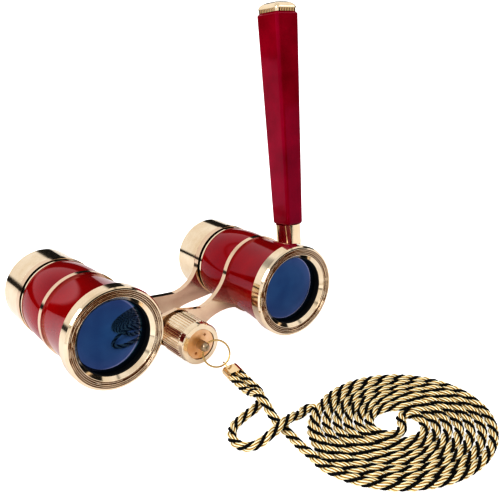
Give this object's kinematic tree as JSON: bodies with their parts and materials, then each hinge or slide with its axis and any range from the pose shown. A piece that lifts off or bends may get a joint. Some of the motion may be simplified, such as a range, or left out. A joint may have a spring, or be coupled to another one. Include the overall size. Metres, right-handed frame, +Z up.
{
  "type": "opera glasses",
  "caption": "Opera glasses with lacquered barrels, gilt rings, a central focusing wheel, a folding side handle and a coiled neck cord.",
  "frame": {"origin": "centre of the resting glasses' footprint, on the surface they rest on (cord left out)", "axes": "+X across both barrels to the handle side, +Y from the objectives to the eyepieces, +Z up from the surface"},
  "size_m": [0.1167, 0.1318, 0.0987],
  "materials": {
    "gilt_brass": "polished pale gold plate",
    "gilt_knurl": "fine straight knurl, polished pale gold plate",
    "gilt_wire": "polished wire, gold plate",
    "rose_gilt": "polished rose gold plate",
    "red_lacquer": "deep red high gloss lacquer",
    "grip_lacquer": "crimson high gloss lacquer",
    "black_metal": "matt black",
    "coated_glass": "polished, blue anti-reflection coating",
    "clear_glass": "polished",
    "felt": "black felt",
    "steel": "turned",
    "fibre": "red-brown fibre washer",
    "gold_cord": "twisted metallic gold and black thread"
  },
  "bodies": {
    "barrels": {"bezel_left": "gilt_brass", "bezel_right": "gilt_brass", "lens_gasket_left": "black_metal", "lens_gasket_right": "black_metal", "objective_crown_left": "coated_glass", "objective_crown_right": "coated_glass", "objective_flint_left": "clear_glass", "objective_flint_right": "clear_glass", "objective_retainer_left": "black_metal", "objective_retainer_right": "black_metal", "flare_shell_left": "red_lacquer", "flare_shell_right": "red_lacquer", "drum_shell_left": "red_lacquer", "drum_shell_right": "red_lacquer", "felt_guide_left": "felt", "felt_guide_right": "felt", "trim_ring_left": "gilt_brass", "trim_ring_right": "gilt_brass", "front_bridge": "gilt_brass", "focus_sleeve": "steel", "wheel_washer": "steel", "end_plate": "rose_gilt", "lanyard_post": "gilt_brass", "handle_boss": "gilt_brass", "friction_washer": "fibre", "pivot_screw": "steel", "jump_ring": "gilt_wire", "link_ring": "gilt_wire", "cord_ferrule": "gilt_brass", "cord_strand_a": "gold_cord", "cord_strand_b": "gold_cord", "cord_coil": "gold_cord"},
    "carriage": {"rear_bridge": "gilt_brass", "push_rod": "steel", "drive_pin": "steel", "rod_nut": "gilt_brass", "draw_tube_left": "black_metal", "draw_tube_right": "black_metal", "eyecup_left": "gilt_brass", "eyecup_right": "gilt_brass", "ocular_lens_left": "clear_glass", "ocular_lens_right": "clear_glass", "ocular_retainer_left": "black_metal", "ocular_retainer_right": "black_metal"},
    "wheel": {"focus_wheel": "gilt_knurl", "wheel_collar": "gilt_brass"},
    "handle": {"handle_ferrule": "gilt_brass", "handle_core": "steel", "grip_shell": "grip_lacquer", "cap_band": "gilt_brass", "grip_cap": "gilt_brass"}
  },
  "joints": [
    {"name": "focus_slide", "type": "slide", "parent": "barrels", "child": "carriage", "axis": [0, 0.9987, -0.0506], "range_m": [0, 0.006]},
    {"name": "wheel_turn", "type": "hinge", "parent": "barrels", "child": "wheel", "pos_m": [-0.01374, -0.01295, 0.0071], "axis": [0, 0.9987, -0.0506], "range_deg": [0, 300.5]},
    {"name": "handle_swing", "type": "hinge", "parent": "barrels", "child": "handle", "pos_m": [0.04018, 0.00185, 0.01057], "axis": [0.9877, -0.0079, -0.1562], "range_deg": [-82.9, 97.1]}
  ],
  "couplings": [
    {"joint": "wheel_turn", "follows": "focus_slide", "rad_per_m": 872.66}
  ]
}
